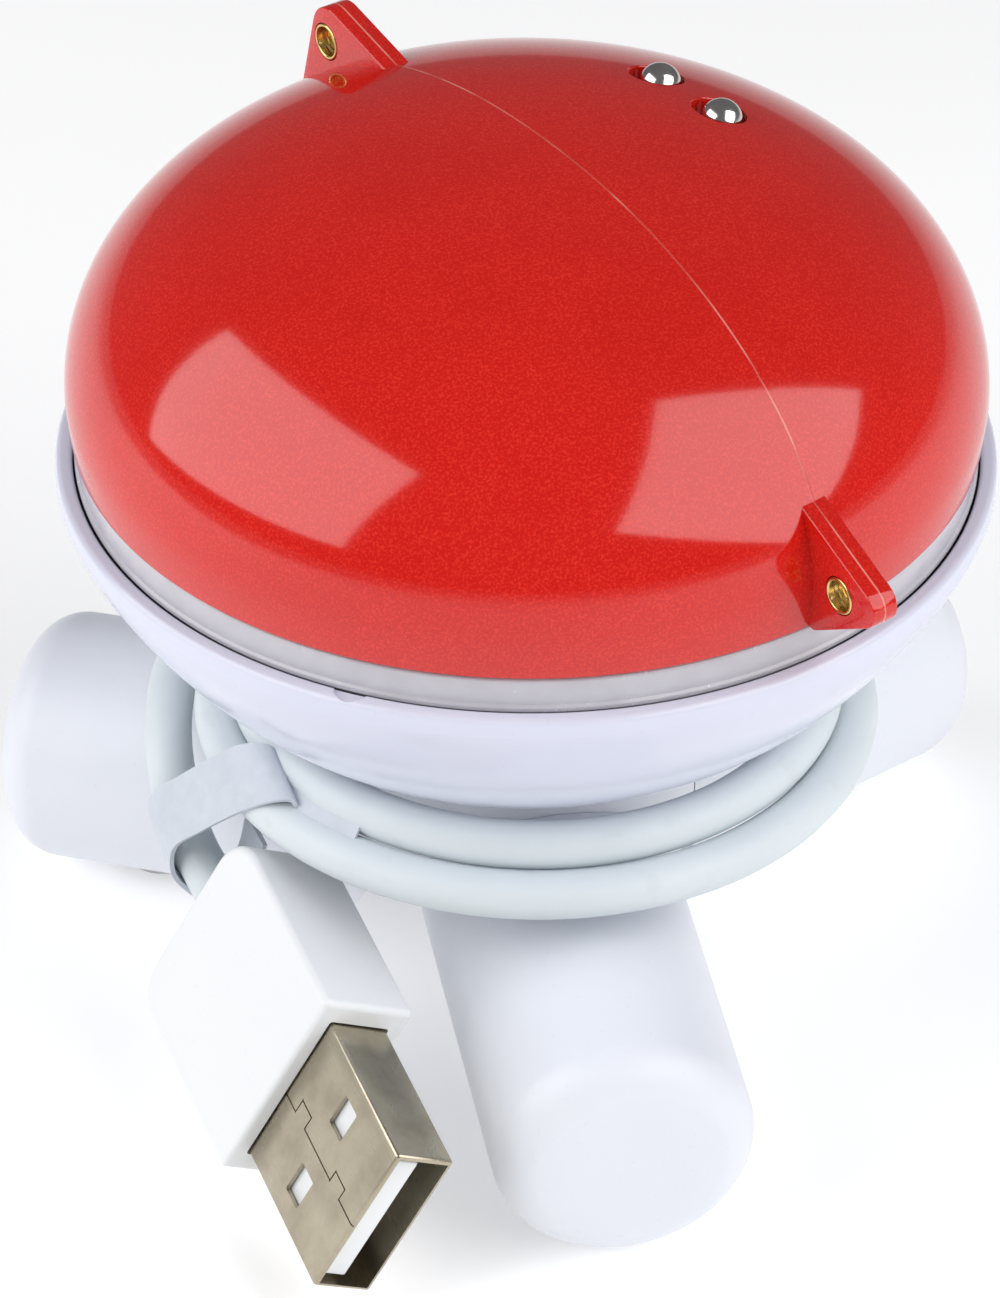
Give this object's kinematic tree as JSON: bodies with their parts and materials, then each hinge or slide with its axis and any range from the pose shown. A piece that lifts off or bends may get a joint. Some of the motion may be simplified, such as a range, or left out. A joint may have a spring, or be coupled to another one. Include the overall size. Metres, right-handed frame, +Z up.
{
  "type": "quiz buzzer",
  "caption": "Push-top quiz buzzer: red split dome with screw ears over a white bowl on a three-legged stand, USB lead wound round its neck.",
  "frame": {"origin": "middle of the footprint on the table, under the stand and without the lead; the dome's axis is 2.85 mm behind it, at Y = +0.00285", "axes": "+Z up from the table along the dome's travel; -Y towards the front leg's end; +X to the right as seen from the front leg"},
  "size_m": [0.0706, 0.0717, 0.0658],
  "materials": {
    "red_shell": "glossy with a fine metal-flake speckle",
    "clear_ring": "frosted clear moulding",
    "brass_insert": "turned",
    "steel_stud": "polished",
    "white_gloss": "glossy, slightly blue",
    "white_satin": "satin",
    "rubber_pad": "matt",
    "cable_jacket": "smooth satin jacket",
    "strap_film": "thin cloudy film",
    "plug_mould": "satin",
    "plug_shell": "warm nickel plate",
    "circuit_board": "solder mask",
    "black_plastic": "moulded",
    "red_lens": "tinted",
    "spring_steel": "drawn wire",
    "zinc_screw": "zinc plated"
  },
  "bodies": {
    "base": {"bowl": "white_gloss", "hub": "white_satin", "bottom_cover": "white_satin", "cable_gland": "cable_jacket", "cable_coil": "cable_jacket", "cable_tail": "cable_jacket", "cable_strap": "strap_film", "plug_overmould": "plug_mould", "plug_shell": "plug_shell", "plug_tongue": "plug_mould", "circuit_board": "circuit_board", "controller_chip": "black_plastic", "switch_body": "black_plastic", "sounder": "black_plastic", "leg_front": "white_satin", "leg_left": "white_satin", "leg_right": "white_satin", "foot_pad_front": "rubber_pad", "foot_pad_left": "rubber_pad", "foot_pad_right": "rubber_pad", "leg_screw_front": "zinc_screw", "leg_screw_left": "zinc_screw", "leg_screw_right": "zinc_screw", "cover_screw_1": "zinc_screw", "cover_screw_2": "zinc_screw", "cover_screw_3": "zinc_screw", "bowl_screw_1": "zinc_screw", "bowl_screw_2": "zinc_screw", "bowl_screw_3": "zinc_screw", "retaining_screw_1": "zinc_screw", "retaining_screw_2": "zinc_screw", "retaining_screw_3": "zinc_screw", "return_spring_1": "spring_steel", "return_spring_2": "spring_steel", "return_spring_3": "spring_steel", "lamp_1": "red_lens", "lamp_2": "red_lens", "lamp_3": "red_lens"},
    "dome": {"dome_half_left": "red_shell", "dome_half_right": "red_shell", "skirt_ring": "clear_ring", "ear_insert_front": "brass_insert", "ear_insert_rear": "brass_insert", "stud_1": "steel_stud", "stud_2": "steel_stud", "carrier_plate": "white_gloss", "carrier_screw_1": "zinc_screw", "carrier_screw_2": "zinc_screw", "carrier_screw_3": "zinc_screw", "carrier_screw_4": "zinc_screw"},
    "switch": {"switch_stem": "red_lens"}
  },
  "joints": [
    {"name": "dome_press", "type": "slide", "parent": "base", "child": "dome", "axis": [0, 0, -1], "range_m": [0, 0.002], "stiffness_N_per_m": 400, "springref_m": -0.003, "deforming": ["return_spring_1", "return_spring_2", "return_spring_3"]},
    {"name": "switch_press", "type": "slide", "parent": "base", "child": "switch", "axis": [0, 0, -1], "range_m": [0, 0.002], "stiffness_N_per_m": 150, "springref_m": -0.002}
  ],
  "couplings": [
    {"joint": "switch_press", "follows": "dome_press", "ratio": 1}
  ]
}
